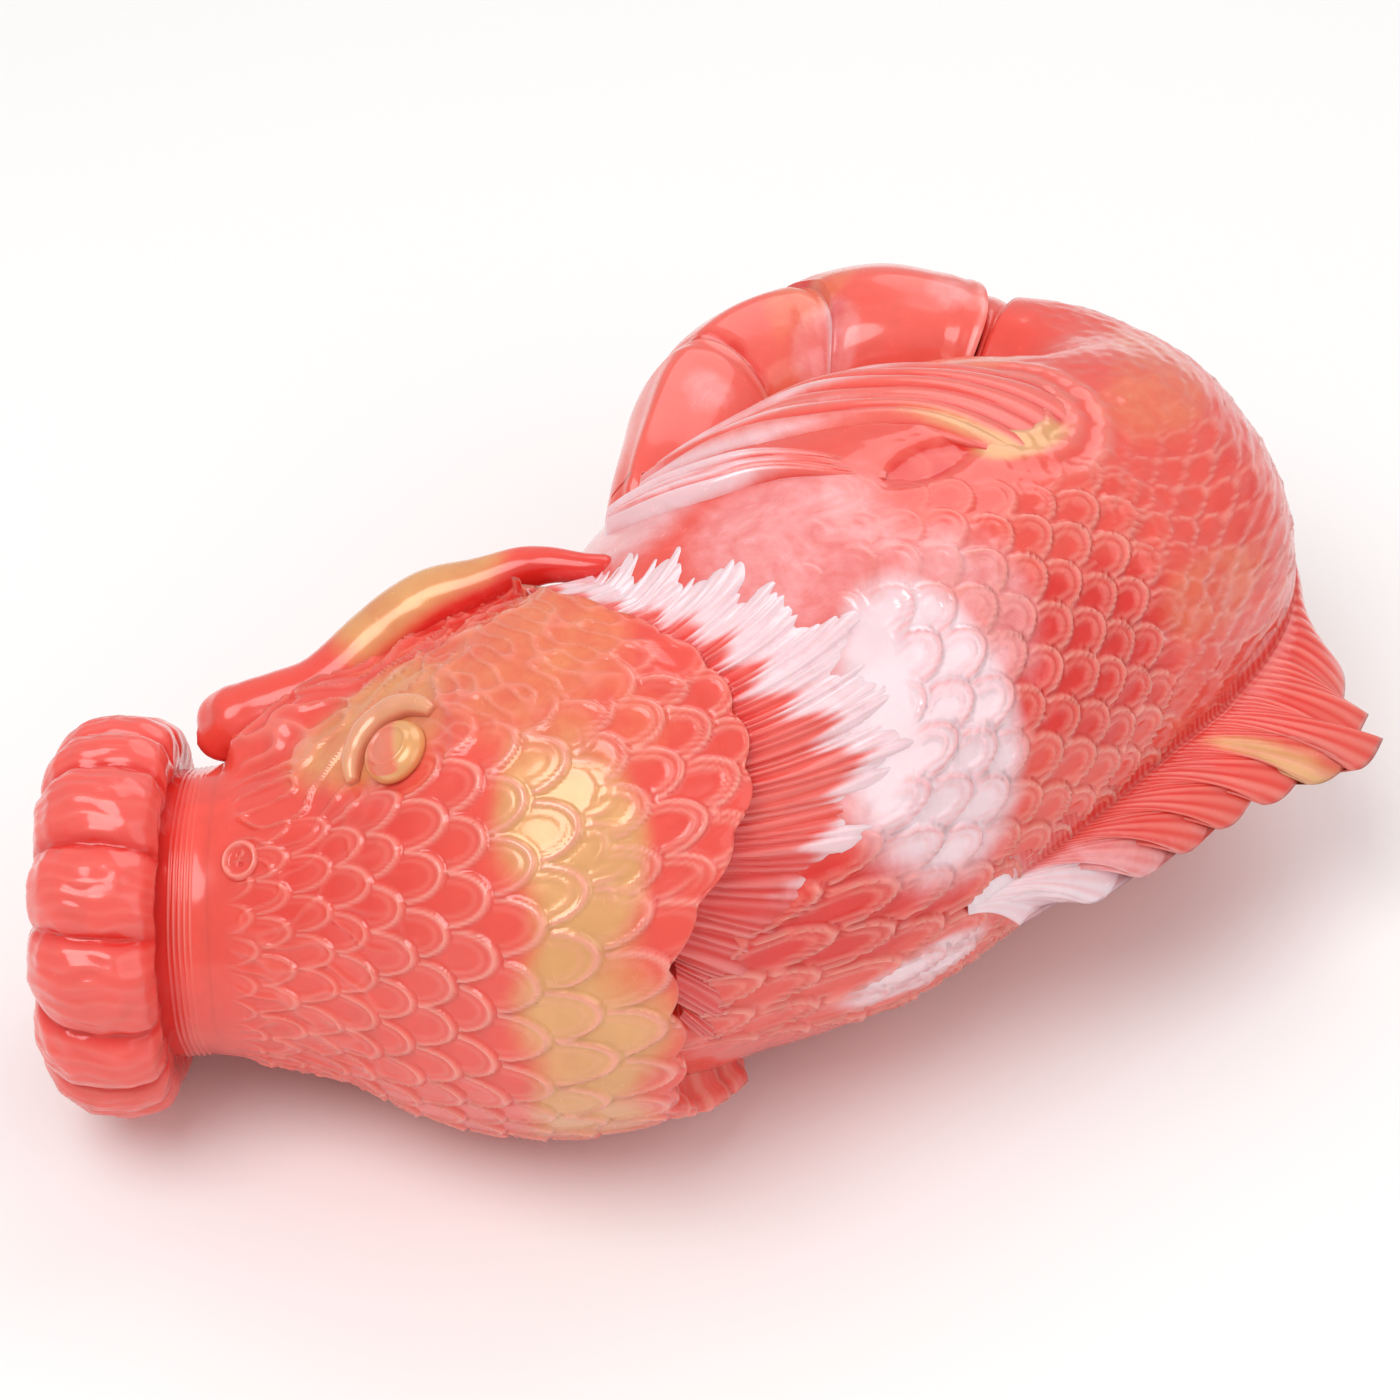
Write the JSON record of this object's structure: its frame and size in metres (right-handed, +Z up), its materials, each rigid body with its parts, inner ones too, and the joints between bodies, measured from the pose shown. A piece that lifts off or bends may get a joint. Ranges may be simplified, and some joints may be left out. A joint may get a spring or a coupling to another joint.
{
  "type": "soft silicone carp",
  "caption": "Soft cast silicone carp lying curled on its side, with rolled lips round an open blind mouth, scaled head and body, ribbed fins and a lobed tail.",
  "frame": {"origin": "centre of the bounding box's underside, on the surface that the fish lies on", "axes": "+X from the mouth towards the tail bend, +Y towards the belly side and the tail, +Z up out of the fish's right flank"},
  "size_m": [0.1942, 0.1676, 0.0863],
  "materials": {
    "coral_silicone": "glossy translucent coral red cast silicone",
    "deep_coral_silicone": "glossy translucent deep red cast silicone",
    "gold_silicone": "glossy silicone marbled with gold",
    "pearl_silicone": "glossy silicone marbled with pearl white",
    "salmon_silicone": "glossy translucent salmon pink cast silicone"
  },
  "bodies": {
    "root": {"lip_ring": "deep_coral_silicone", "neck_collar": "deep_coral_silicone", "head": "coral_silicone", "throat_fold_right": "coral_silicone", "throat_fold_left": "coral_silicone", "eye_right": "gold_silicone", "eye_left": "gold_silicone", "brow_right": "gold_silicone", "brow_left": "gold_silicone", "nostril_right": "coral_silicone", "nostril_left": "coral_silicone", "pectoral_fin_right": "pearl_silicone", "pectoral_fin_left": "pearl_silicone", "body": "salmon_silicone", "dorsal_fin": "coral_silicone", "pelvic_fin": "pearl_silicone", "anal_fin": "gold_silicone", "tail_stalk": "coral_silicone", "tail_lobe_1": "salmon_silicone", "tail_lobe_2": "coral_silicone", "tail_lobe_3": "salmon_silicone"}
  },
  "joints": []
}
